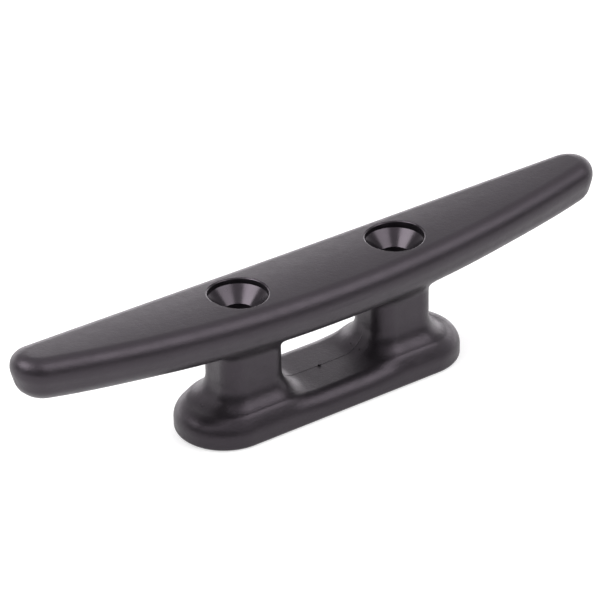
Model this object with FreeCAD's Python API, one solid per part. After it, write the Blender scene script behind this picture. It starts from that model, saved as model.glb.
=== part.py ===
# Two-horn mooring cleat, injection moulded in black nylon.
#
# The real cleat is one moulding. It is delivered as its named members, which meet face to face with
# no gap: two horns, the crossbar between them, two legs and the base. A countersunk screw hole runs
# down through the crossbar, each leg and the base. Nothing on the cleat moves.
#
# Frame: millimetres, +Z up. The origin is the centre of the base's underside. +X runs along the horns,
# and the cleat is symmetric about the planes X = 0 and Y = 0.
import FreeCAD, Part
import math
import os

V = FreeCAD.Vector

# ---- driving dimensions ------------------------------------------------------------------------
LENGTH = 155.0            # nominal, before the tips are drafted and rounded to 154.2 over all

# bar: the crossbar and the two horns together
BAR_HALF_WIDTH = 12.85    # at the middle, where the sides would meet the height of the crest
BAR_CREST = 31.7          # height of the crest at the middle
BAR_UNDERSIDE = 20.5      # height of the flat middle of the underside
BEND_HALF = 71.0          # within this distance of the middle, plan and crest are arcs; beyond, straight
PLAN_TAPER = 0.182        # narrowing of each side per mm, at the tips
CREST_RISE = 0.097        # rise of the crest per mm, at the tips
UNDERSIDE_FLAT_HALF = 3.0
UNDERSIDE_RADIUS = 500.0  # the underside sweeps up towards each tip
CROWN_RADIUS = 85.0       # the top is slightly crowned across its width
SIDE_DRAFT = 2.6          # each side is this much further in at the underside
TOP_ROUND = 4.7           # rounding of the bar's long top edges
LOW_ROUND = 3.0           # rounding of its lower edges
HORN_START = 30.0         # the horns begin here, just outside the legs

# screw seats and bores
HOLE_SPACING = 42.3
BORE_RADIUS = 3.45        # clearance for an M6 or quarter-inch screw
SEAT_RADIUS = 6.65        # recess for the countersunk head
CONE_TOP = 30.4           # height where the recess wall meets the 90 degree cone

# legs
LEG_SPACING = 40.7
LEG_LENGTH = 15.6         # along X
LEG_WIDTH = 12.8          # along Y
LEG_CORNER = 4.3
FOOT_FLARE_HEIGHT = 5.5   # concave flare from the leg onto the base
FOOT_FLARE_ENDS = 5.5     # how far it reaches out along X
FOOT_FLARE_SIDES = 2.6    # how far it reaches out along Y
FLARE_BANDS = 8           # conical bands that make up a flare
NECK_FLARE = 2.8          # concave flare under the crossbar, height and reach along X
NECK_FLARE_SIDES = 1.2

# base
BASE_HALF_LENGTH = 36.95
BASE_HALF_WIDTH = 11.6
FOOT_HEIGHT = 6.55        # under the legs
SADDLE_HEIGHT = 5.85      # between the legs
SADDLE_INNER = 5.0        # the dip is flat out to here
SADDLE_OUTER = 16.0       # and ends here
BASE_TOP_ROUND = 4.0
BASE_LOW_ROUND = 0.85

TALL = 100.0              # larger than the part, for cutting tools
BEYOND = 5.0              # how far a cutting profile runs past the part
NEAR = 0.1                # tolerance for telling at what height an edge lies


# ---- outlines ----------------------------------------------------------------------------------
def arc(start, middle, end):
    return Part.Arc(start, middle, end).toShape()


def line(start, end):
    return Part.makeLine(start, end)


def bar_outline(inset, z):
    """Plan of the bar at height z, moved in by inset: arc sides, straight tapers, round tips."""
    bend_angle = math.atan(PLAN_TAPER)
    side_radius = BEND_HALF / math.sin(bend_angle)
    side_centre = BAR_HALF_WIDTH - side_radius
    drop = side_radius * (1 - math.cos(bend_angle))
    width_at_zero = BAR_HALF_WIDTH - drop + PLAN_TAPER * BEND_HALF
    tip_radius = ((width_at_zero - PLAN_TAPER * LENGTH / 2) * math.cos(bend_angle)
                  / (1 - math.sin(bend_angle)))
    tip_centre = LENGTH / 2 - tip_radius
    radius = side_radius - inset
    bend_x = radius * math.sin(bend_angle)
    bend_y = side_centre + radius * math.cos(bend_angle)
    tip = tip_radius - inset
    tip_x = tip_centre + tip * math.sin(bend_angle)
    tip_y = tip * math.cos(bend_angle)
    edges = [
        arc(V(-bend_x, bend_y, z), V(0, side_centre + radius, z), V(bend_x, bend_y, z)),
        line(V(bend_x, bend_y, z), V(tip_x, tip_y, z)),
        arc(V(tip_x, tip_y, z), V(tip_centre + tip, 0, z), V(tip_x, -tip_y, z)),
        line(V(tip_x, -tip_y, z), V(bend_x, -bend_y, z)),
        arc(V(bend_x, -bend_y, z), V(0, -side_centre - radius, z), V(-bend_x, -bend_y, z)),
        line(V(-bend_x, -bend_y, z), V(-tip_x, -tip_y, z)),
        arc(V(-tip_x, -tip_y, z), V(-tip_centre - tip, 0, z), V(-tip_x, tip_y, z)),
        line(V(-tip_x, tip_y, z), V(-bend_x, bend_y, z)),
    ]
    return Part.Wire(edges)


def rounded_rectangle(centre_x, half_x, half_y, corner, z):
    """A closed outline of four lines and four arcs at height z, started at the same corner each time."""
    inner_x = half_x - corner
    inner_y = half_y - corner
    diagonal = corner * math.sqrt(0.5)
    edges = []
    for turn in range(4):
        ways = [(1, 1), (-1, 1), (-1, -1), (1, -1)]
        sx, sy = ways[turn]
        nx, ny = ways[(turn + 1) % 4]
        along_x = V(centre_x + sx * half_x, sy * inner_y, z)
        along_y = V(centre_x + sx * inner_x, sy * half_y, z)
        middle = V(centre_x + sx * (inner_x + diagonal), sy * (inner_y + diagonal), z)
        next_x = V(centre_x + nx * half_x, ny * inner_y, z)
        next_y = V(centre_x + nx * inner_x, ny * half_y, z)
        if turn % 2 == 0:
            edges.append(arc(along_x, middle, along_y))
            edges.append(line(along_y, next_y))
        else:
            edges.append(arc(along_y, middle, along_x))
            edges.append(line(along_x, next_x))
    return Part.Wire(edges)


def stadium(half_length, half_width, z):
    """A closed outline with two straight sides and two half-round ends."""
    end = half_length - half_width
    edges = [
        line(V(-end, half_width, z), V(end, half_width, z)),
        arc(V(end, half_width, z), V(half_length, 0, z), V(end, -half_width, z)),
        line(V(end, -half_width, z), V(-end, -half_width, z)),
        arc(V(-end, -half_width, z), V(-half_length, 0, z), V(-end, half_width, z)),
    ]
    return Part.Wire(edges)


def slab(edges, depth):
    """A profile drawn in the plane Y = 0, extruded evenly to both sides."""
    face = Part.Face(Part.Wire(edges))
    face.translate(V(0, -depth / 2, 0))
    return face.extrude(V(0, depth, 0))


# ---- the bar -----------------------------------------------------------------------------------
def crowned_block():
    """Everything below the crowned top: an arc in the middle, straight rises towards the tips."""
    half = 2 * BAR_HALF_WIDTH
    rise_angle = math.atan(CREST_RISE)
    crest_radius = BEND_HALF / math.sin(rise_angle)
    shoulder = BAR_CREST - CROWN_RADIUS + math.sqrt(CROWN_RADIUS ** 2 - half ** 2)
    section = Part.Face(Part.Wire([
        arc(V(0, -half, shoulder), V(0, 0, BAR_CREST), V(0, half, shoulder)),
        line(V(0, half, shoulder), V(0, half, 0)),
        line(V(0, half, 0), V(0, -half, 0)),
        line(V(0, -half, 0), V(0, -half, shoulder)),
    ]))
    pivot = V(0, 0, BAR_CREST + crest_radius)
    across = V(0, 1, 0)
    degrees = math.degrees(rise_angle)
    start = section.copy()
    start.rotate(pivot, across, degrees)
    block = start.revolve(pivot, across, -2 * degrees)
    for way in (-1, 1):
        end = section.copy()
        end.rotate(pivot, across, -way * degrees)
        along = V(way * math.cos(rise_angle), 0, math.sin(rise_angle))
        block = block.fuse(end.extrude(along * (LENGTH / 2)))
    return block.removeSplitter()


def below_underside():
    """The space under the bar: flat in the middle, then an upward arc towards each tip."""
    reach = LENGTH / 2 + BEYOND
    centre_z = BAR_UNDERSIDE + UNDERSIDE_RADIUS

    def height(x):
        run = x - UNDERSIDE_FLAT_HALF
        return centre_z - math.sqrt(UNDERSIDE_RADIUS ** 2 - run ** 2)

    half_way = (UNDERSIDE_FLAT_HALF + reach) / 2
    flat = UNDERSIDE_FLAT_HALF
    return slab([
        line(V(-flat, 0, BAR_UNDERSIDE), V(flat, 0, BAR_UNDERSIDE)),
        arc(V(flat, 0, BAR_UNDERSIDE), V(half_way, 0, height(half_way)), V(reach, 0, height(reach))),
        line(V(reach, 0, height(reach)), V(reach, 0, -BEYOND)),
        line(V(reach, 0, -BEYOND), V(-reach, 0, -BEYOND)),
        line(V(-reach, 0, -BEYOND), V(-reach, 0, height(reach))),
        arc(V(-reach, 0, height(reach)), V(-half_way, 0, height(half_way)), V(-flat, 0, BAR_UNDERSIDE)),
    ], TALL)


def rim_edges(body, on_top):
    """The edges round the bar's top, or round its underside, without those that cross it or stand up."""
    found = []
    for edge in body.Edges:
        middle = edge.valueAt((edge.FirstParameter + edge.LastParameter) / 2)
        box = edge.BoundBox
        steep = box.ZLength > 0.5 * max(box.XLength, box.YLength)
        run = max(abs(middle.x) - UNDERSIDE_FLAT_HALF, 0.0)
        underside = BAR_UNDERSIDE + run ** 2 / (2 * UNDERSIDE_RADIUS)
        above = middle.z - underside > (BAR_CREST - BAR_UNDERSIDE) / 2
        beside = abs(middle.y) > BAR_HALF_WIDTH / 2
        at_tip = abs(middle.x) > LENGTH / 2 - BAR_HALF_WIDTH
        if above == on_top and not steep and (beside or at_tip):
            found.append(edge)
    return found


def make_bar():
    """The drafted, crowned bar with its edges rounded, before the holes and before it is divided."""
    low = bar_outline(SIDE_DRAFT, BAR_UNDERSIDE)
    thickness = BAR_CREST - BAR_UNDERSIDE
    past_tips = 1.6       # the drafted sides are carried up this many thicknesses, past the raised tips
    high = bar_outline(SIDE_DRAFT * (1 - past_tips), BAR_UNDERSIDE + thickness * past_tips)
    sides = Part.makeLoft([low, high], True, True)
    body = sides.common(crowned_block()).cut(below_underside())
    body = body.makeFillet(TOP_ROUND, rim_edges(body, True))
    return body.makeFillet(LOW_ROUND, rim_edges(body, False))


def screw_hole(x):
    """The tool that cuts one hole: a straight bore, a 90 degree cone and the recess above it."""
    cone_depth = SEAT_RADIUS - BORE_RADIUS
    bore = Part.makeCylinder(BORE_RADIUS, TALL, V(x, 0, -TALL / 2))
    cone = Part.makeCone(BORE_RADIUS, SEAT_RADIUS, cone_depth, V(x, 0, CONE_TOP - cone_depth))
    recess = Part.makeCylinder(SEAT_RADIUS, TALL, V(x, 0, CONE_TOP))
    return bore.fuse([cone, recess])


# ---- legs and base -----------------------------------------------------------------------------
def leg_outline(centre_x, grown_x, grown_y, z):
    return rounded_rectangle(
        centre_x, LEG_LENGTH / 2 + grown_x, LEG_WIDTH / 2 + grown_y, LEG_CORNER + grown_y, z)


def flare(centre_x, wide_z, plain_z, reach_x, reach_y):
    """A concave quarter-ellipse flare round a leg, widest at wide_z and plain at plain_z."""
    outlines = []
    for band in range(FLARE_BANDS + 1):
        angle = math.radians(90.0 * band / FLARE_BANDS)
        grown = 1 - math.cos(angle)
        z = plain_z + (wide_z - plain_z) * math.sin(angle)
        outlines.append(leg_outline(centre_x, reach_x * grown, reach_y * grown, z))
    return Part.makeLoft(outlines, True, True)


def make_leg(centre_x):
    """One leg with its flares, reaching into the base below and the crossbar above."""
    buried = 0.6          # how far the flares run inside their neighbours before those are cut away
    root_depth = 5.0
    toe_z = FOOT_HEIGHT - buried
    shank_z = toe_z + FOOT_FLARE_HEIGHT
    neck_z = BAR_UNDERSIDE + buried - NECK_FLARE
    foot = flare(centre_x, toe_z, shank_z, FOOT_FLARE_ENDS, FOOT_FLARE_SIDES)
    neck = flare(centre_x, BAR_UNDERSIDE + buried, neck_z, NECK_FLARE, NECK_FLARE_SIDES)
    shank = Part.Face(leg_outline(centre_x, 0, 0, shank_z)).extrude(V(0, 0, neck_z - shank_z))
    root = leg_outline(centre_x, FOOT_FLARE_ENDS, FOOT_FLARE_SIDES, toe_z - root_depth)
    root = Part.Face(root).extrude(V(0, 0, root_depth))
    return shank.fuse([foot, neck, root])


def saddle_profile():
    """Side view of the base: a flat foot at each end, with an S-curve down to the dip between them."""
    run = (SADDLE_OUTER - SADDLE_INNER) / 2
    fall = (FOOT_HEIGHT - SADDLE_HEIGHT) / 2
    radius = (run ** 2 + fall ** 2) / (2 * fall)
    half_turn = math.asin(run / radius) / 2
    part_run = radius * math.sin(half_turn)
    part_fall = radius * (1 - math.cos(half_turn))
    end = BASE_HALF_LENGTH + BEYOND
    edges = [
        line(V(-end, 0, 0), V(end, 0, 0)),
        line(V(-SADDLE_INNER, 0, SADDLE_HEIGHT), V(SADDLE_INNER, 0, SADDLE_HEIGHT)),
    ]
    for way in (-1, 1):
        outer = V(way * SADDLE_OUTER, 0, FOOT_HEIGHT)
        turn = V(way * (SADDLE_OUTER - run), 0, FOOT_HEIGHT - fall)
        inner = V(way * SADDLE_INNER, 0, SADDLE_HEIGHT)
        edges.append(line(V(way * end, 0, 0), V(way * end, 0, FOOT_HEIGHT)))
        edges.append(line(V(way * end, 0, FOOT_HEIGHT), outer))
        edges.append(arc(outer, V(way * (SADDLE_OUTER - part_run), 0, FOOT_HEIGHT - part_fall), turn))
        edges.append(arc(turn, V(way * (SADDLE_INNER + part_run), 0, SADDLE_HEIGHT + part_fall), inner))
    return Part.__sortEdges__(edges)


def make_base():
    """A solid stadium-shaped base with a dipped top, a wide top rounding and a small lower one."""
    body = Part.Face(stadium(BASE_HALF_LENGTH, BASE_HALF_WIDTH, 0)).extrude(V(0, 0, 2 * FOOT_HEIGHT))
    body = body.common(slab(saddle_profile(), TALL)).removeSplitter()
    top_edges = []
    for edge in body.Edges:
        middle = edge.valueAt((edge.FirstParameter + edge.LastParameter) / 2)
        on_rim = abs(middle.y) > BASE_HALF_WIDTH / 2 or abs(middle.x) > BASE_HALF_LENGTH - BASE_HALF_WIDTH
        if on_rim and edge.BoundBox.ZMin > SADDLE_HEIGHT - NEAR:
            top_edges.append(edge)
    body = body.makeFillet(BASE_TOP_ROUND, top_edges)
    low_edges = [e for e in body.Edges if e.BoundBox.ZMax < NEAR]
    return body.makeFillet(BASE_LOW_ROUND, low_edges)


# ---- divide and write --------------------------------------------------------------------------
def make_members():
    """Name every member of the cleat and give its solid."""
    bar = make_bar()
    base = make_base()
    holes = [screw_hole(way * HOLE_SPACING / 2) for way in (-1, 1)]
    crossbar_space = Part.makeBox(2 * HORN_START, TALL, TALL, V(-HORN_START, -TALL / 2, -TALL / 2))
    members = {"crossbar": bar.common(crossbar_space).cut(holes), "base": base.cut(holes)}
    for side, way in (("left", -1), ("right", 1)):
        near_end = HORN_START if way > 0 else -HORN_START - TALL
        horn_space = Part.makeBox(TALL, TALL, TALL, V(near_end, -TALL / 2, -TALL / 2))
        members[side + "_horn"] = bar.common(horn_space)
        members[side + "_leg"] = make_leg(way * LEG_SPACING / 2).cut([bar, base] + holes)
    return members


os.makedirs("parts", exist_ok=True)
for name, shape in make_members().items():
    solid = shape.Solids[0]
    if len(shape.Solids) != 1 or not solid.isValid():
        raise ValueError(name + " is not one valid solid")
    solid.exportStep("parts/" + name + ".step")
    box = solid.BoundBox
    print(name, round(solid.Volume, 1), [round(v, 2) for v in (
        box.XMin, box.XMax, box.YMin, box.YMax, box.ZMin, box.ZMax)])
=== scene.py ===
"""Visual model of a two-horn mooring cleat, one injection moulding in black nylon.

The moulding's skin is written once, as a smooth distance function of the members that the frame holds:
the bar (crossbar and horns), the two legs and the base, with the mould's soft blends between them. The skin
is meshed from that function, divided where the members meet, and each piece is closed and given its share
of the screw holes. Both sides of a joint line share their points and their shading, so no seam shows, just
as the real moulding has none. Shape functions work in millimetres; objects are made in metres.
"""
import math

import bmesh
import bpy
import numpy as np
from mathutils import Matrix, Vector


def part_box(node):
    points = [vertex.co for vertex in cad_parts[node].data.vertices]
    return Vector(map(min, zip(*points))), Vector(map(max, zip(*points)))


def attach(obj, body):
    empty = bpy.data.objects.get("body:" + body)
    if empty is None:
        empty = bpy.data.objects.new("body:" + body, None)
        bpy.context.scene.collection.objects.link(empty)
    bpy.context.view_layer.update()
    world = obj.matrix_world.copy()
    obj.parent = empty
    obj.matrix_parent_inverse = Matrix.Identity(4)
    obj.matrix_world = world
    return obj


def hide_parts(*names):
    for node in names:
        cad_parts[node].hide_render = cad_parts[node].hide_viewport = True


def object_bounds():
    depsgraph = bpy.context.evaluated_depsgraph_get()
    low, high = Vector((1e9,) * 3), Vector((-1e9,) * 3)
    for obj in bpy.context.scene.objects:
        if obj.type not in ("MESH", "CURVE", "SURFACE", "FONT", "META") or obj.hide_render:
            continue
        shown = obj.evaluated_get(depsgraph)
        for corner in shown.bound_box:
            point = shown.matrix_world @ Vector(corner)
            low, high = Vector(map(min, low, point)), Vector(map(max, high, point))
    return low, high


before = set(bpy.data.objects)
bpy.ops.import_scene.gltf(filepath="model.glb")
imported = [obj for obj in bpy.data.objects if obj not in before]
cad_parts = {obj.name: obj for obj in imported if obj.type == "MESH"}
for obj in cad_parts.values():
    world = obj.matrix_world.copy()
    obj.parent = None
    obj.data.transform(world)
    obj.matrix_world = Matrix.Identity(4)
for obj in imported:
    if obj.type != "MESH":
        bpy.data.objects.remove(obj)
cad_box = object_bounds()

MM = 0.001


def span(node):
    """A CAD node's lowest and highest corner in millimetres."""
    low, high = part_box(node)
    return np.array(low) / MM, np.array(high) / MM


# ---- sizes, from the frame where it holds them ---------------------------------------------------
BASE_HIGH = span("base")[1]
BAR_LOW, BAR_HIGH = span("crossbar")
TIP_HIGH = span("right_horn")[1]

BASE_HALF_LENGTH = float(BASE_HIGH[0])
BASE_HALF_WIDTH = float(BASE_HIGH[1])
FOOT_HEIGHT = float(BASE_HIGH[2])
UNDERSIDE = float(BAR_LOW[2])
HORN_START = float(BAR_HIGH[0])

# bar
HALF_LENGTH = 77.13       # where the drafted sides pass the height CREST, before rounding
HALF_WIDTH = 12.85        # likewise
CREST = 31.7              # top of the bar in the middle
BEND_HALF = 71.0          # out to here the plan and the crest are arcs; beyond, straight
PLAN_TAPER = 0.182        # what each side comes in per mm beyond the bend
CREST_RISE = 0.097        # what the crest rises per mm beyond the bend
UNDERSIDE_FLAT_HALF = 3.0
UNDERSIDE_RADIUS = 500.0
CROWN_RADIUS = 85.0
SIDE_DRAFT = 0.232        # per mm of height
TOP_ROUND = 4.7
LOW_ROUND = 4.4           # along the crossbar
TIP_LOW_ROUND = 3.05      # at the horns' tips
LOW_ROUND_CHANGES = (45.0, 75.0)

# screw holes
HOLE_X = 21.15
BORE_RADIUS = 3.45
SEAT_RADIUS = 6.65
CONE_TOP = 30.4
RIM_ROUND = 0.42          # rounding where a recess meets the top
EXIT_CHAMFER = 0.4
HOLE_SIDES = 144

# legs and base
LEG_X = 20.35
LEG_HALF_X = 7.8
LEG_HALF_Y = 6.4
LEG_CORNER = 4.3
LEG_ROOT = 4.0            # how far a leg is carried on inside the bar
FOOT_FLARE = 5.5
NECK_FLARE = 2.8
SADDLE_DIP = 0.7
SADDLE_INNER = 5.0
SADDLE_OUTER = 16.0
BASE_TOP_ROUND = 4.0
BASE_LOW_ROUND = 0.85

# mould marks
PARTING_HEIGHT = 0.05     # the fine line where the two side cores met, on the plane Y = 0
PARTING_HALF_WIDTH = 0.10
GATE_RADIUS = 0.36        # the stub of the gate, in the middle of the saddle
GATE_HEIGHT = 0.3
PARTING_STARTS = (0.5, 1.5)      # heights over which it grows from nothing above the deck
PARTING_FADE = 0.8               # the share lost up the legs and on the near half of the horns
PARTING_FADES_UP = (FOOT_HEIGHT + 2.0, FOOT_HEIGHT + 4.5)
PARTING_FADES_OUT = (LEG_X - 2.0, LEG_X + 2.0)
PARTING_RETURNS = (HORN_START + 20.0, HORN_START + 40.0)

# division into members
FOOT_CUT = FOOT_HEIGHT + 0.4
NECK_CUT = UNDERSIDE - 0.2

GRID = 0.4
SNAP = 0.005              # a cut passes through corners that are this near to it
ON_PLANE = 1e-6
TINY = 1e-9               # keeps divisors above nothing

# shading
SHARP_ANGLE = 28.0
ON_SKIN = 0.04            # faces this near to the skin take its exact normals
TRIMMED = 0.2             # the same on the horns, whose crests are trimmed to the frame's box


# nylon: sizes in millimetres, colours as linear red, green, blue, alpha
SPECULAR_TINT = (1.0, 0.87, 1.0, 1)
NYLON_DARK = (0.0080, 0.0070, 0.0083, 1)
NYLON_LIGHT = (0.0110, 0.0096, 0.0114, 1)
CLOUD_SIZE = 18.0
CLOUD_NOISE = (0.35, 0.65)       # the noise values that give the dark and the light tint
DUST_COLOUR = (0.35, 0.33, 0.36, 1)
DUST_SPACING = 9.0
DUST_RADIUS = (0.02, 0.035)      # in spacings: whole inside the first, gone by the second
DUST_PICKED = 0.6                # specks below this draw are left out
DUST_COVER = 0.35
ROUGHNESS = (0.36, 0.44)
ROUGHNESS_NOISE = (0.3, 0.7)     # the noise values that give the two
ROUGHNESS_SIZE = 2.5
SEAT_GLOSS = 0.16                # taken off the roughness in the machined seats
SEAT_EDGE = (-0.12, 0.04)        # where that finish ends, from a recess's rim outwards
SEAT_FADE = 0.5                  # how far it fades out below the cone
FINE_GRAIN, COARSE_GRAIN = 0.3, 0.9
COARSE_SHARE = 0.8
BUMP_DISTANCE = 0.1
BUMP_STRENGTH = 0.4
SEAT_BUMP = 0.06

# camera, floor and light: metres, degrees
CAMERA_AZIMUTH = 34.67
CAMERA_ELEVATION = 30.05
CAMERA_ROLL = -1.18
CAMERA_DISTANCE = 0.6243
CAMERA_LENS = 168.67
SENSOR_WIDTH = 36.0
AIM_HEIGHT = 0.018
AIM_RIGHT = -0.004097
AIM_UP = 0.004056
FLOOR_SIZE = 6.0
FLOOR_DROP = 0.00005             # keeps the floor off the base's underside
FLOOR_ALBEDO = 0.6
FLOOR_ROUGHNESS = 0.9
FLOOR_SPECULAR = 0.1
FLOOR_GLOW = 0.515
SKY_COLOUR = (1, 0.97, 1, 1)
NEAR_GLOW = 0.1                  # low on the camera's side
FAR_GLOW = 4.4                   # low behind the cleat
MIDDLE_GLOW = 0.64               # half-way up behind the cleat
TOP_GLOW = 0.93                  # overhead
LOW_TURN = (0.0, 1.0)            # near to far glow, from -1 at the camera's side to 1 behind the cleat
MIDDLE_TURN = (-0.45, 1.0)       # the same half-way up
LOW_TO_MIDDLE = (0.03, 0.42)     # heights, from 0 at the horizon to 1 overhead
MIDDLE_TO_TOP = (0.50, 0.85)
SOFTBOX_TURN = 70.0
SOFTBOX_HEIGHT = 48.0
SOFTBOX_SIZE = 0.7
SOFTBOX_RIGHT_POWER = 5.2
SOFTBOX_LEFT_POWER = 9.5


# ---- the moulding as a distance function ---------------------------------------------------------
def ease(value, start, end):
    """A smooth step: 0 up to start, 1 from end on."""
    part = np.clip((value - start) / (end - start), 0, 1)
    return part * part * (3 - 2 * part)


def round_inside(a, b, radius):
    """Where two solids overlap, with their meeting edge rounded."""
    edge = np.hypot(np.maximum(a + radius, 0), np.maximum(b + radius, 0))
    return np.minimum(np.maximum(a, b), -radius) + edge


def round_union(a, b, radius):
    """Two solids joined, with a concave fillet where they meet."""
    fillet = np.hypot(np.maximum(radius - a, 0), np.maximum(radius - b, 0))
    return np.maximum(np.minimum(a, b), radius) - fillet


def crest_height(x):
    """Height of the bar's top on its middle line: an arc over the middle, then a straight rise."""
    angle = math.atan(CREST_RISE)
    radius = BEND_HALF / math.sin(angle)
    inner = radius - np.sqrt(radius ** 2 - np.minimum(x, BEND_HALF) ** 2)
    return CREST + inner + CREST_RISE * np.maximum(x - BEND_HALF, 0)


def bar_plan(x, y):
    """Distance to the bar's outline seen from above: arc sides, straight tapers, round tips."""
    angle = math.atan(PLAN_TAPER)
    side = BEND_HALF / math.sin(angle)
    side_y = HALF_WIDTH - side
    reach = side_y * math.cos(angle) + side
    tip = (reach - HALF_LENGTH * math.sin(angle)) / (1 - math.sin(angle))
    tip_x = HALF_LENGTH - tip
    by_arc = np.hypot(x, y - side_y) - side
    by_line = x * math.sin(angle) + y * math.cos(angle) - reach
    by_tip = np.hypot(x - tip_x, y) - tip
    past_bend = x * math.cos(angle) > (y - side_y) * math.sin(angle)
    past_side = (x - tip_x) * math.cos(angle) > y * math.sin(angle)
    return np.where(past_side, by_tip, np.where(past_bend, by_line, by_arc))


def bar(x, y, z):
    side = bar_plan(x, y) + SIDE_DRAFT * (CREST - z)
    above = z - crest_height(x) + y ** 2 / (2 * CROWN_RADIUS)
    run = np.maximum(x - UNDERSIDE_FLAT_HALF, 0)
    below = UNDERSIDE + run ** 2 / (2 * UNDERSIDE_RADIUS) - z
    low_round = LOW_ROUND + (TIP_LOW_ROUND - LOW_ROUND) * ease(x, *LOW_ROUND_CHANGES)
    return round_inside(round_inside(side, above, TOP_ROUND), below, low_round)


def wall(x, y, radius):
    """Distance to an upright wall that turns a rounded corner about the origin, and the way it faces."""
    out_x, out_y = np.maximum(x, 0), np.maximum(y, 0)
    reach = np.hypot(out_x, out_y)
    distance = reach - radius + np.minimum(np.maximum(x, y), 0)
    reach = np.maximum(reach, TINY)
    return distance, out_x / reach, out_y / reach


def roll_round(a, b, cosine, radius):
    """Where two solids overlap, with a ball rolled along an edge that need not be square.

    The cosine is that of the angle between the two surfaces' outward directions.
    """
    a_in, b_in = a + radius, b + radius
    square = a_in ** 2 + b_in ** 2 - 2 * a_in * b_in * cosine
    rolled = np.sqrt(np.maximum(square, 0) / (1 - cosine ** 2)) - radius
    off_edge = (b_in < cosine * a_in) | (a_in < cosine * b_in) | ((a_in < 0) & (b_in < 0))
    return np.where(off_edge, np.maximum(a, b), rolled)


def standing(x, y, z):
    """The legs on the base: flared at the foot, the base's rim rounded all round after that."""
    inner_x, inner_y = LEG_HALF_X - LEG_CORNER, LEG_HALF_Y - LEG_CORNER
    leg, leg_x, leg_y = wall(np.abs(x - LEG_X) - inner_x, y - inner_y, LEG_CORNER)
    rim, rim_x, rim_y = wall(x - (BASE_HALF_LENGTH - BASE_HALF_WIDTH), y, BASE_HALF_WIDTH)
    top = z - FOOT_HEIGHT + SADDLE_DIP * (1 - ease(x, SADDLE_INNER, SADDLE_OUTER))
    near_leg, near_top = np.maximum(FOOT_FLARE - leg, 0), np.maximum(FOOT_FLARE - top, 0)
    flare = np.hypot(near_leg, near_top)
    flared = np.maximum(np.minimum(leg, top), FOOT_FLARE) - flare
    facing = leg_x * np.sign(x - LEG_X) * rim_x + leg_y * rim_y
    steepness = ease(near_leg / np.maximum(flare, TINY), 0, 1)
    nearly_parallel = 0.98
    cosine = np.clip(steepness * facing, -nearly_parallel, nearly_parallel)
    rounded = roll_round(flared, rim, cosine, BASE_TOP_ROUND)
    return np.maximum(round_inside(rounded, -z, BASE_LOW_ROUND), z - UNDERSIDE - LEG_ROOT)


def skin(points):
    """Signed distance, near enough, from points to the moulding's skin without its screw holes."""
    x, y, z = np.abs(points[..., 0]), np.abs(points[..., 1]), points[..., 2]
    return round_union(standing(x, y, z), bar(x, y, z), NECK_FLARE)


def slope(field, points, step=0.01):
    """Gradient of a field at points, by central differences."""
    out = np.empty_like(points)
    for axis in range(3):
        nudge = np.zeros(3)
        nudge[axis] = step
        out[:, axis] = (field(points + nudge) - field(points - nudge)) / (2 * step)
    return out


def settle(field, points, rounds=3, free=(1, 1, 1)):
    """Move points onto the field's zero surface, along the free axes only."""
    least = 1e-6
    for _ in range(rounds):
        gradient = slope(field, points) * np.array(free)
        squared = np.maximum((gradient ** 2).sum(1), least)
        points = points - gradient * (field(points) / squared)[:, None]
    return points


# ---- meshing the skin ----------------------------------------------------------------------------
def surface_net(field, low, high, step):
    """Quads on the field's zero surface: a point in each crossed cell, a quad round each crossed edge."""
    axes = [np.arange(low[k], high[k] + step, step) for k in range(3)]
    grid = np.stack(np.meshgrid(*axes, indexing="ij"), -1)
    values = np.stack([field(sheet) for sheet in grid])
    shape = np.array(values.shape)
    cells = int(np.prod(shape))
    strides = np.array([shape[1] * shape[2], shape[2], 1])
    total = np.zeros((cells, 3))
    count = np.zeros(cells)
    rings = []
    for axis in range(3):
        first = [slice(None)] * 3
        second = [slice(None)] * 3
        first[axis] = slice(None, -1)
        second[axis] = slice(1, None)
        a, b = values[tuple(first)], values[tuple(second)]
        where = np.argwhere((a < 0) != (b < 0))
        from_value = a[tuple(where.T)]
        share = from_value / (from_value - b[tuple(where.T)])
        crossing = where.astype(float)
        crossing[:, axis] += share
        u, v = (axis + 1) % 3, (axis + 2) % 3
        ring = []
        for du, dv in ((0, 0), (1, 0), (1, 1), (0, 1)):
            cell = where.copy()
            cell[:, u] -= du
            cell[:, v] -= dv
            index = cell @ strides
            ring.append(index)
            count += np.bincount(index, minlength=cells)
            for k in range(3):
                total[:, k] += np.bincount(index, crossing[:, k], minlength=cells)
        ring = np.stack(ring, 1)
        leaving = from_value < 0
        ring[leaving] = ring[leaving][:, ::-1]
        rings.append(ring[:, ::-1])
    used = np.flatnonzero(count)
    number = np.full(cells, -1)
    number[used] = np.arange(len(used))
    points = np.array(low) + step * total[used] / count[used, None]
    return points, number[np.concatenate(rings)]


def even_out(field, points, quads, rounds=6):
    """Relax points towards their neighbours' middle, staying on the surface."""
    ends = np.concatenate([quads[:, [k, (k + 1) % 4]] for k in range(4)])
    ends = np.concatenate([ends, ends[:, ::-1]])
    degree = np.bincount(ends[:, 0], minlength=len(points))[:, None]
    for _ in range(rounds):
        sums = [np.bincount(ends[:, 0], points[ends[:, 1], k], len(points)) for k in range(3)]
        middle = np.stack(sums, 1) / degree
        points = settle(field, points + 0.5 * (middle - points), 1)
    return settle(field, points)


def cut_planes():
    """The planes between members: an axis, a place on it, and which points the plane can cut."""
    def on_bar(points):
        return points[:, 2] > NECK_CUT

    def on_legs(points):
        return points[:, 2] < UNDERSIDE

    return [
        (0, -HORN_START, on_bar),
        (0, HORN_START, on_bar),
        (2, NECK_CUT, on_legs),
        (2, FOOT_CUT, on_legs),
    ]


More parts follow.
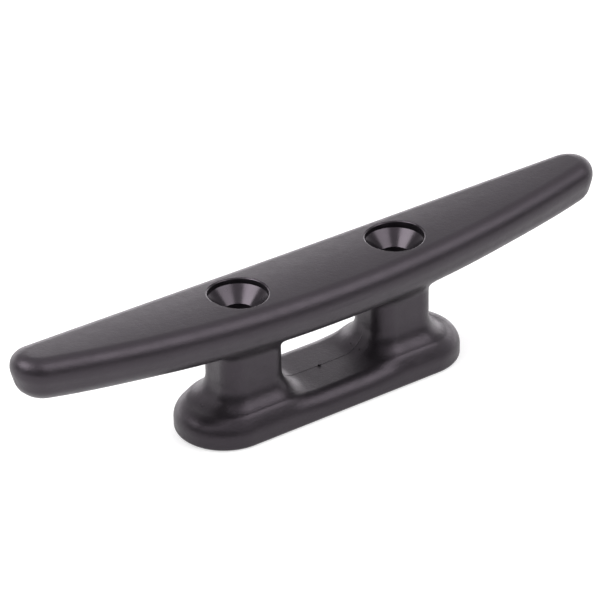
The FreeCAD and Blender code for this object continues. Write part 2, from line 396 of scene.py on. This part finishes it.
def line_up(points):
    """Bring points that nearly lie on a cutting plane onto it, so that the cut leaves no slivers."""
    close = 0.35 * GRID
    for axis, place, may_cut in cut_planes():
        near = (np.abs(points[:, axis] - place) < close) & may_cut(points)
        moved = points[near]
        moved[:, axis] = place
        free = [1, 1, 1]
        free[axis] = 0
        points[near] = settle(skin, moved, free=free)
    return points


def inside_frame(points):
    """Points brought back inside the frame's box, which the crests near the tips overstep by 0.13 mm."""
    return np.clip(points, np.array(cad_box[0]) / MM, np.array(cad_box[1]) / MM)


def make_skin():
    """One bmesh of the whole skin, in millimetres, on a grid that is even about X = 0 and Y = 0."""
    margin = 1.5
    half_x = (math.ceil((HALF_LENGTH + margin) / GRID) + 0.5) * GRID
    half_y = (math.ceil((BASE_HALF_WIDTH + margin) / GRID) + 0.5) * GRID
    low = np.array([-half_x, -half_y, -margin])
    high = np.array([half_x, half_y, float(TIP_HIGH[2]) + margin])
    points, quads = surface_net(skin, low, high, GRID)
    points = inside_frame(line_up(even_out(skin, points, quads)))
    mesh = bmesh.new()
    made = [mesh.verts.new(point) for point in points]
    for quad in quads:
        mesh.faces.new([made[k] for k in quad])
    return mesh


def cut(mesh, axis, place, faces):
    """Divide faces along a plane that stands across an axis."""
    point, across = [0, 0, 0], [0, 0, 0]
    point[axis] = place
    across[axis] = 1
    edges = {edge for face in faces for edge in face.edges}
    corners = {corner for face in faces for corner in face.verts}
    geometry = [*corners, *edges, *faces]
    bmesh.ops.bisect_plane(
        mesh, geom=geometry, dist=SNAP, plane_co=point, plane_no=across, use_snap_center=True)


# ---- mould marks ---------------------------------------------------------------------------------
def parting_height(points):
    """How far the parting line stands out: nothing on the bar's top or at the deck, little on the legs."""
    x, z = np.abs(points[:, 0]), points[:, 2]
    below_top = 1 - ease(z - crest_height(x), -TOP_ROUND - 1, -TOP_ROUND + 1)
    faint = np.maximum(ease(z, *PARTING_FADES_UP), ease(x, *PARTING_FADES_OUT))
    faint *= 1 - ease(x, *PARTING_RETURNS)
    return PARTING_HEIGHT * below_top * ease(z, *PARTING_STARTS) * (1 - PARTING_FADE * faint)


def raise_parting_line(mesh):
    """A fine sharp-backed ridge along Y = 0."""
    for place in (0.0, -PARTING_HALF_WIDTH, PARTING_HALF_WIDTH):
        near = [face for face in mesh.faces if abs(face.calc_center_median().y) < 2 * GRID]
        heights = parting_height(np.array([face.calc_center_median() for face in near]))
        cut(mesh, 1, place, [face for face, height in zip(near, heights) if height > 0])
    middle = [corner for corner in mesh.verts if abs(corner.co.y) < ON_PLANE]
    places = np.array([corner.co for corner in middle])
    normals = slope(skin, places)
    normals /= np.linalg.norm(normals, axis=1)[:, None]
    raised = inside_frame(places + normals * parting_height(places)[:, None])
    for corner, place in zip(middle, raised):
        corner.co = place


# ---- members -------------------------------------------------------------------------------------
def member_of(centre):
    """The node that a face belongs to, from the middle of the face."""
    side = "left" if centre.x < 0 else "right"
    if centre.z > NECK_CUT:
        return side + "_horn" if abs(centre.x) > HORN_START else "crossbar"
    return side + "_leg" if centre.z > FOOT_CUT else "base"


def divide(mesh):
    """Cut the skin where the members meet, and give each member a closed bmesh of its own."""
    for axis, place, may_cut in cut_planes():
        near = [face for face in mesh.faces if abs(face.calc_center_median()[axis] - place) < 2 * GRID]
        chosen = may_cut(np.array([face.calc_center_median() for face in near]))
        cut(mesh, axis, place, [face for face, use in zip(near, chosen) if use])
    members = {}
    for face in mesh.faces:
        members.setdefault(member_of(face.calc_center_median()), []).append(face)
    closed = {}
    for name, faces in members.items():
        piece = bmesh.new()
        corners = {corner for face in faces for corner in face.verts}
        in_order = sorted(corners, key=lambda corner: corner.index)
        copies = {corner: piece.verts.new(corner.co) for corner in in_order}
        for face in faces:
            piece.faces.new([copies[corner] for corner in face.verts])
        bmesh.ops.holes_fill(piece, edges=[edge for edge in piece.edges if edge.is_boundary], sides=0)
        bmesh.ops.recalc_face_normals(piece, faces=piece.faces)
        closed[name] = piece
    return closed


# ---- screw holes ---------------------------------------------------------------------------------
def lathe(rings, sides):
    """A closed bmesh from rings of points, lowest first, capped at both ends."""
    mesh = bmesh.new()
    made = [[mesh.verts.new(point) for point in ring] for ring in rings]
    for lower, upper in zip(made, made[1:]):
        for k in range(sides):
            after = (k + 1) % sides
            mesh.faces.new([lower[k], lower[after], upper[after], upper[k]])
    mesh.faces.new(made[0][::-1])
    mesh.faces.new(made[-1])
    return mesh


def hole_cutter(centre_x):
    """A screw hole's tool: chamfered exit, bore, 90 degree cone, recess, and a rounded rim on top.

    The rim follows the bar's curved top, and its rounding ends a little short of level, so that the
    tool meets the top cleanly.
    """
    turn = np.linspace(0, 2 * math.pi, HOLE_SIDES, endpoint=False)
    rim_radius = SEAT_RADIUS + RIM_ROUND
    out_x, out_y = np.cos(turn), np.sin(turn)

    def ring(radius, height):
        level = np.broadcast_to(height, HOLE_SIDES)
        return np.stack([centre_x + radius * out_x, radius * out_y, level], 1)

    top = settle(skin, ring(rim_radius, CREST + 1), rounds=12, free=(0, 0, 1))[:, 2]
    seat_bottom = CONE_TOP - (SEAT_RADIUS - BORE_RADIUS)
    beyond = 1.0
    rings = [
        ring(BORE_RADIUS + EXIT_CHAMFER + beyond, -beyond),
        ring(BORE_RADIUS, EXIT_CHAMFER),
        ring(BORE_RADIUS, seat_bottom),
        ring(SEAT_RADIUS, CONE_TOP),
    ]
    rim_bottom = top - RIM_ROUND
    for degrees in (0, 15, 30, 45, 60, 75):
        angle = math.radians(degrees)
        radius = rim_radius - RIM_ROUND * math.cos(angle)
        rings.append(ring(radius, rim_bottom + RIM_ROUND * math.sin(angle)))
    clear = 1.5
    splay = math.tan(math.radians(20))
    rings.append(ring(rim_radius + clear, top + clear * splay))
    rings.append(ring(rim_radius + clear, CREST + 20))
    return lathe(rings, HOLE_SIDES)


def gate_stub():
    """The broken-off stub of the gate, a low cone with a worn top, in the middle of the saddle."""
    sides = 20
    floor_z = FOOT_HEIGHT - SADDLE_DIP
    turn = np.linspace(0, 2 * math.pi, sides, endpoint=False)
    rings = []
    profile = ((1.15, -0.5), (1.0, 0.6), (0.8, 1.0), (0.35, 1.0))     # shares of its radius and height
    unevenness = 0.06
    for radius, height in profile:
        around = GATE_RADIUS * radius * (1 + unevenness * np.sin(3 * turn + 4 * radius))
        level = np.full(sides, floor_z + GATE_HEIGHT * height)
        rings.append(np.stack([around * np.cos(turn), around * np.sin(turn), level], 1))
    return lathe(rings, sides)


def new_object(name, mesh):
    """A linked object from a bmesh, which is then freed."""
    data = bpy.data.meshes.new(name)
    mesh.to_mesh(data)
    mesh.free()
    made = bpy.data.objects.new(name, data)
    bpy.context.collection.objects.link(made)
    return made


def combine(piece, tool, operation):
    """Cut a tool out of a piece or join it on, and keep only the resulting mesh."""
    modifier = piece.modifiers.new("tool", "BOOLEAN")
    modifier.solver = "EXACT"
    modifier.operation = operation
    modifier.object = tool
    result = bpy.data.meshes.new_from_object(piece.evaluated_get(bpy.context.evaluated_depsgraph_get()))
    piece.modifiers.clear()
    piece.data = result
    result.name = piece.name


# ---- shading normals -----------------------------------------------------------------------------
def read(collection, name, width):
    values = np.empty(len(collection) * width)
    collection.foreach_get(name, values)
    return values.reshape(-1, width) if width > 1 else values


def shade(mesh):
    """Exact normals on the skin, smooth ones round the holes, flat ones on the parting line."""
    mesh.shade_smooth()
    mesh.set_sharp_from_angle(angle=math.radians(SHARP_ANGLE))
    normals = read(mesh.corner_normals, "vector", 3)
    points = read(mesh.vertices, "co", 3)
    centres = read(mesh.polygons, "center", 3)
    facing = read(mesh.polygons, "normal", 3)
    corner_counts = read(mesh.polygons, "loop_total", 1).astype(int)
    face_of_corner = np.repeat(np.arange(len(centres)), corner_counts)
    corner_points = read(mesh.loops, "vertex_index", 1).astype(int)
    true_normals = slope(skin, points)
    true_normals /= np.maximum(np.linalg.norm(true_normals, axis=1), TINY)[:, None]
    from_hole = np.hypot(np.abs(centres[:, 0]) - HOLE_X, centres[:, 1])
    rim_end = SEAT_RADIUS + RIM_ROUND * 0.97
    in_hole = (from_hole < rim_end) & (centres[:, 2] > CONE_TOP - SEAT_RADIUS)
    in_bore = from_hole < BORE_RADIUS + EXIT_CHAMFER
    off_skin = np.abs(skin(centres))
    least = 0.001
    on_line = (np.abs(centres[:, 1]) < PARTING_HALF_WIDTH) & (parting_height(centres) > least)
    on_line &= (off_skin > least) & (off_skin < PARTING_HEIGHT)
    may_be_trimmed = HORN_START + 1
    near_skin = np.where(np.abs(centres[:, 0]) > may_be_trimmed, TRIMMED, ON_SKIN)
    on_skin = (off_skin < near_skin) & ~in_hole & ~in_bore & ~on_line
    use_true = on_skin[face_of_corner]
    normals[use_true] = true_normals[corner_points[use_true]]
    use_flat = (on_line & ~in_hole & ~in_bore)[face_of_corner]
    normals[use_flat] = facing[face_of_corner[use_flat]]
    return normals


# ---- material ------------------------------------------------------------------------------------
def nylon():
    """Black nylon with a fine spark-eroded grain, cloudy gloss, and smoother machined screw seats."""
    material = bpy.data.materials.new("black_nylon")
    material.use_nodes = True
    nodes, links = material.node_tree.nodes, material.node_tree.links
    shader = nodes["Principled BSDF"]
    shader.inputs["Specular Tint"].default_value = SPECULAR_TINT

    def add(kind, **settings):
        node = nodes.new("ShaderNode" + kind)
        for name, value in settings.items():
            setattr(node, name, value)
        return node

    def noise(size_mm, detail, roughness=0.5):
        node = add("TexNoise")
        node.inputs["Scale"].default_value = 1 / (size_mm * MM)
        node.inputs["Detail"].default_value = detail
        node.inputs["Roughness"].default_value = roughness
        links.new(place.outputs["Object"], node.inputs["Vector"])
        return node.outputs["Fac"]

    def remap(value, low, high, to_low, to_high):
        node = add("MapRange")
        node.inputs["From Min"].default_value = low
        node.inputs["From Max"].default_value = high
        node.inputs["To Min"].default_value = to_low
        node.inputs["To Max"].default_value = to_high
        links.new(value, node.inputs["Value"])
        return node.outputs["Result"]

    def calculate(operation, first, second):
        node = add("Math", operation=operation)
        for socket, value in zip(node.inputs, (first, second)):
            if isinstance(value, (int, float)):
                socket.default_value = value
            else:
                links.new(value, socket)
        return node.outputs["Value"]

    def mix_colour(share, first, second):
        node = add("Mix", data_type="RGBA")
        links.new(share, node.inputs["Factor"])
        for name, value in (("A", first), ("B", second)):
            socket = next(s for s in node.inputs if s.name == name and s.type == "RGBA")
            if isinstance(value, tuple):
                socket.default_value = value
            else:
                links.new(value, socket)
        return next(s for s in node.outputs if s.type == "RGBA")

    place = add("TexCoord")
    axes = add("SeparateXYZ")
    links.new(place.outputs["Object"], axes.inputs["Vector"])
    along = calculate("SUBTRACT", calculate("ABSOLUTE", axes.outputs["X"], 0), HOLE_X * MM)
    across = axes.outputs["Y"]
    from_axis = calculate("SQRT", calculate("ADD", calculate("MULTIPLY", along, along),
                                            calculate("MULTIPLY", across, across)), 0)
    rim = SEAT_RADIUS + RIM_ROUND
    near_hole = remap(from_axis, (rim + SEAT_EDGE[0]) * MM, (rim + SEAT_EDGE[1]) * MM, 1, 0)
    seat_bottom = CONE_TOP - SEAT_RADIUS + BORE_RADIUS
    above_cone = remap(axes.outputs["Z"], (seat_bottom - SEAT_FADE) * MM, seat_bottom * MM, 0, 1)
    seat = calculate("MULTIPLY", near_hole, above_cone)

    cloud = remap(noise(CLOUD_SIZE, detail=3), *CLOUD_NOISE, 0, 1)
    tint = mix_colour(cloud, NYLON_DARK, NYLON_LIGHT)
    cells = add("TexVoronoi")
    cells.inputs["Scale"].default_value = 1 / (DUST_SPACING * MM)
    links.new(place.outputs["Object"], cells.inputs["Vector"])
    spot = remap(cells.outputs["Distance"], *DUST_RADIUS, 1, 0)
    picked = add("SeparateColor")
    links.new(cells.outputs["Color"], picked.inputs["Color"])
    chosen = calculate("GREATER_THAN", picked.outputs["Red"], DUST_PICKED)
    dust = calculate("MULTIPLY", calculate("MULTIPLY", spot, chosen), DUST_COVER)
    colour = mix_colour(dust, tint, DUST_COLOUR)
    links.new(colour, shader.inputs["Base Color"])

    matte = remap(noise(ROUGHNESS_SIZE, detail=4), *ROUGHNESS_NOISE, *ROUGHNESS)
    rough = calculate("SUBTRACT", matte, calculate("MULTIPLY", seat, SEAT_GLOSS))
    links.new(rough, shader.inputs["Roughness"])

    coarse = calculate("MULTIPLY", noise(COARSE_GRAIN, detail=2), COARSE_SHARE)
    grain = calculate("ADD", noise(FINE_GRAIN, detail=2, roughness=0.6), coarse)
    bump = add("Bump")
    bump.inputs["Distance"].default_value = BUMP_DISTANCE * MM
    links.new(grain, bump.inputs["Height"])
    links.new(remap(seat, 0, 1, BUMP_STRENGTH, SEAT_BUMP), bump.inputs["Strength"])
    links.new(bump.outputs["Normal"], shader.inputs["Normal"])
    return material


# ---- build ---------------------------------------------------------------------------------------
whole = make_skin()
raise_parting_line(whole)
pieces = {name: new_object(name + "_skin", mesh) for name, mesh in divide(whole).items()}
whole.free()

gate = new_object("gate_tool", gate_stub())
combine(pieces["base"], gate, "UNION")
bpy.data.objects.remove(gate)
for side, way in (("left", -1), ("right", 1)):
    tool = new_object("hole_tool", hole_cutter(way * HOLE_X))
    for name in ("crossbar", side + "_leg", "base"):
        combine(pieces[name], tool, "DIFFERENCE")
    bpy.data.objects.remove(tool)

black_nylon = nylon()
for name, piece in pieces.items():
    normals = shade(piece.data)
    piece.data.transform(Matrix.Scale(MM, 4))
    piece.data.normals_split_custom_set(normals)
    piece.data.materials.clear()
    piece.data.materials.append(black_nylon)
    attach(piece, "root")
    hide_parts(name)

# ---- camera, floor and light ---------------------------------------------------------------------
azimuth, elevation, roll = (math.radians(a) for a in (CAMERA_AZIMUTH, CAMERA_ELEVATION, CAMERA_ROLL))
look = Vector((
    math.sin(azimuth) * math.cos(elevation),
    math.cos(azimuth) * math.cos(elevation),
    -math.sin(elevation),
))
level_right = Vector((math.cos(azimuth), -math.sin(azimuth), 0))
level_up = level_right.cross(look)
right = level_right * math.cos(roll) + level_up * math.sin(roll)
up = level_up * math.cos(roll) - level_right * math.sin(roll)
camera_data = bpy.data.cameras.new("camera")
camera_data.sensor_width = SENSOR_WIDTH
camera_data.lens = CAMERA_LENS
camera = bpy.data.objects.new("camera", camera_data)
camera.matrix_world = Matrix((
    (right.x, up.x, -look.x, 0),
    (right.y, up.y, -look.y, 0),
    (right.z, up.z, -look.z, 0),
    (0, 0, 0, 1),
))
aim = Vector((0, 0, AIM_HEIGHT)) + AIM_RIGHT * right + AIM_UP * up
camera.location = aim - look * CAMERA_DISTANCE
bpy.context.collection.objects.link(camera)
bpy.context.scene.camera = camera

bpy.ops.mesh.primitive_plane_add(size=FLOOR_SIZE, location=(0, 0, -FLOOR_DROP))
floor = bpy.context.object
floor.name = "floor"
pale = bpy.data.materials.new("floor")
pale.use_nodes = True
pale_shader = pale.node_tree.nodes["Principled BSDF"]
pale_shader.inputs["Base Color"].default_value = (FLOOR_ALBEDO, FLOOR_ALBEDO, FLOOR_ALBEDO, 1)
pale_shader.inputs["Roughness"].default_value = FLOOR_ROUGHNESS
pale_shader.inputs["Specular IOR Level"].default_value = FLOOR_SPECULAR
pale_shader.inputs["Emission Color"].default_value = (1, 1, 1, 1)
pale_shader.inputs["Emission Strength"].default_value = FLOOR_GLOW
floor.data.materials.append(pale)


def studio():
    """Pale surroundings: bright low down behind the cleat, dark low on the near side, even overhead.

    The camera itself sees them at one strength, as a very faintly pink white.
    """
    world = bpy.data.worlds.new("studio")
    world.use_nodes = True
    nodes, links = world.node_tree.nodes, world.node_tree.links
    background = nodes["Background"]
    place = nodes.new("ShaderNodeTexCoord")

    def along(way):
        node = nodes.new("ShaderNodeVectorMath")
        node.operation = "DOT_PRODUCT"
        node.inputs[1].default_value = way
        links.new(place.outputs["Generated"], node.inputs[0])
        return node.outputs["Value"]

    def glow(value, start, end, first, last):
        """A smooth change from first to last; each is a number or another output."""
        node = nodes.new("ShaderNodeMapRange")
        node.interpolation_type = "SMOOTHSTEP"
        links.new(value, node.inputs["Value"])
        settings = {"From Min": start, "From Max": end, "To Min": first, "To Max": last}
        for name, setting in settings.items():
            if isinstance(setting, float):
                node.inputs[name].default_value = setting
            else:
                links.new(setting, node.inputs[name])
        return node.outputs["Result"]

    level = math.hypot(look.x, look.y)
    depth = along((look.x / level, look.y / level, 0))
    height = along((0, 0, 1))
    low = glow(depth, *LOW_TURN, NEAR_GLOW, FAR_GLOW)
    middle = glow(depth, *MIDDLE_TURN, NEAR_GLOW, MIDDLE_GLOW)
    strength = glow(height, *LOW_TO_MIDDLE, low, middle)
    strength = glow(height, *MIDDLE_TO_TOP, strength, TOP_GLOW)
    seen = nodes.new("ShaderNodeLightPath")
    choice = nodes.new("ShaderNodeMix")
    links.new(seen.outputs["Is Camera Ray"], choice.inputs["Factor"])
    links.new(strength, choice.inputs["A"])
    choice.inputs["B"].default_value = 1.0
    links.new(choice.outputs["Result"], background.inputs["Strength"])
    background.inputs["Color"].default_value = SKY_COLOUR
    return world


def softbox(name, turn, power):
    """A square light on the cleat from a metre off, turned in degrees away from the camera's side."""
    around = math.atan2(-look.y, -look.x) + math.radians(turn)
    rise = math.radians(SOFTBOX_HEIGHT)
    place = Vector((math.cos(around) * math.cos(rise), math.sin(around) * math.cos(rise), math.sin(rise)))
    light = bpy.data.lights.new(name, "AREA")
    light.size = SOFTBOX_SIZE
    light.energy = power
    lamp = bpy.data.objects.new(name, light)
    lamp.location = place
    lamp.rotation_mode = "QUATERNION"
    lamp.rotation_quaternion = (-place).to_track_quat("-Z", "Y")
    bpy.context.collection.objects.link(lamp)


bpy.context.scene.world = studio()
bpy.context.scene.view_settings.view_transform = "Standard"
softbox("softbox_right", SOFTBOX_TURN, SOFTBOX_RIGHT_POWER)
softbox("softbox_left", -SOFTBOX_TURN, SOFTBOX_LEFT_POWER)
